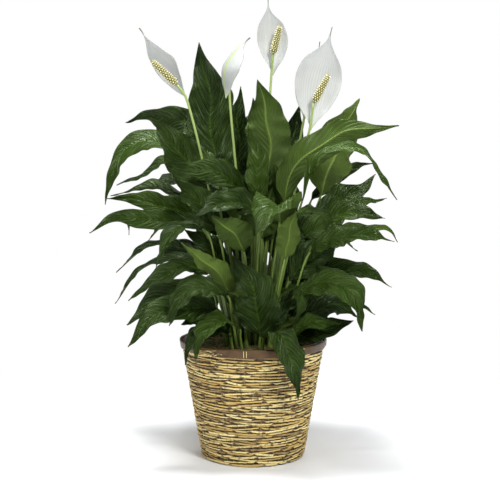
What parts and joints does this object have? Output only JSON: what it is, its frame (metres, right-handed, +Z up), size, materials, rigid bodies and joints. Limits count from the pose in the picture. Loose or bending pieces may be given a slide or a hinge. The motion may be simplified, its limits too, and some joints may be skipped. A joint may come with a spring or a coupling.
{
  "type": "potted peace lily",
  "caption": "Peace lily with arching dark green leaves and white hooded flowers, growing in a round woven basket with a lined inside and a flat base.",
  "frame": {"origin": "centre of the basket's flat underside, on the surface it stands on", "axes": "+Z up, -Y towards the viewer in front, +X to the viewer's right"},
  "size_m": [0.5331, 0.4358, 0.8401],
  "materials": {
    "straw": "matte",
    "band_wood": "satin",
    "liner_black": "gloss",
    "earth": "matte",
    "moss": "matte",
    "leaf_green": "satin",
    "stalk_green": "satin",
    "spathe_white": "satin"
  },
  "bodies": {
    "root": {"basket": "straw", "rim_band_outer": "band_wood", "rim_band_inner": "band_wood", "liner_pot": "liner_black", "soil": "earth", "moss_layer": "moss", "leaf_01": "leaf_green", "leaf_02": "leaf_green", "leaf_03": "leaf_green", "leaf_04": "leaf_green", "leaf_05": "leaf_green", "leaf_06": "leaf_green", "leaf_07": "leaf_green", "leaf_08": "leaf_green", "leaf_09": "leaf_green", "leaf_10": "leaf_green", "leaf_11": "leaf_green", "leaf_12": "leaf_green", "leaf_13": "leaf_green", "leaf_14": "leaf_green", "leaf_15": "leaf_green", "leaf_16": "leaf_green", "leaf_17": "leaf_green", "leaf_18": "leaf_green", "leaf_19": "leaf_green", "leaf_20": "leaf_green", "leaf_21": "leaf_green", "leaf_22": "leaf_green", "leaf_23": "leaf_green", "leaf_24": "leaf_green", "leaf_25": "leaf_green", "leaf_26": "leaf_green", "leaf_27": "leaf_green", "leaf_28": "leaf_green", "leaf_29": "leaf_green", "leaf_30": "leaf_green", "leaf_31": "leaf_green", "leaf_32": "leaf_green", "leaf_33": "leaf_green", "leaf_34": "leaf_green", "leaf_35": "leaf_green", "leaf_36": "leaf_green", "leaf_37": "leaf_green", "leaf_38": "leaf_green", "leaf_39": "leaf_green", "leaf_40": "leaf_green", "leaf_41": "leaf_green", "leaf_42": "leaf_green", "leaf_43": "leaf_green", "leaf_44": "leaf_green", "flower_1_stalk_spadix": "stalk_green", "flower_1_spathe": "spathe_white", "flower_2_stalk_spadix": "stalk_green", "flower_2_spathe": "spathe_white", "flower_3_stalk_spadix": "stalk_green", "flower_3_spathe": "spathe_white", "flower_4_stalk_spadix": "stalk_green", "flower_4_spathe": "spathe_white", "flower_5_stalk_spadix": "stalk_green", "flower_5_spathe": "spathe_white"}
  },
  "joints": []
}
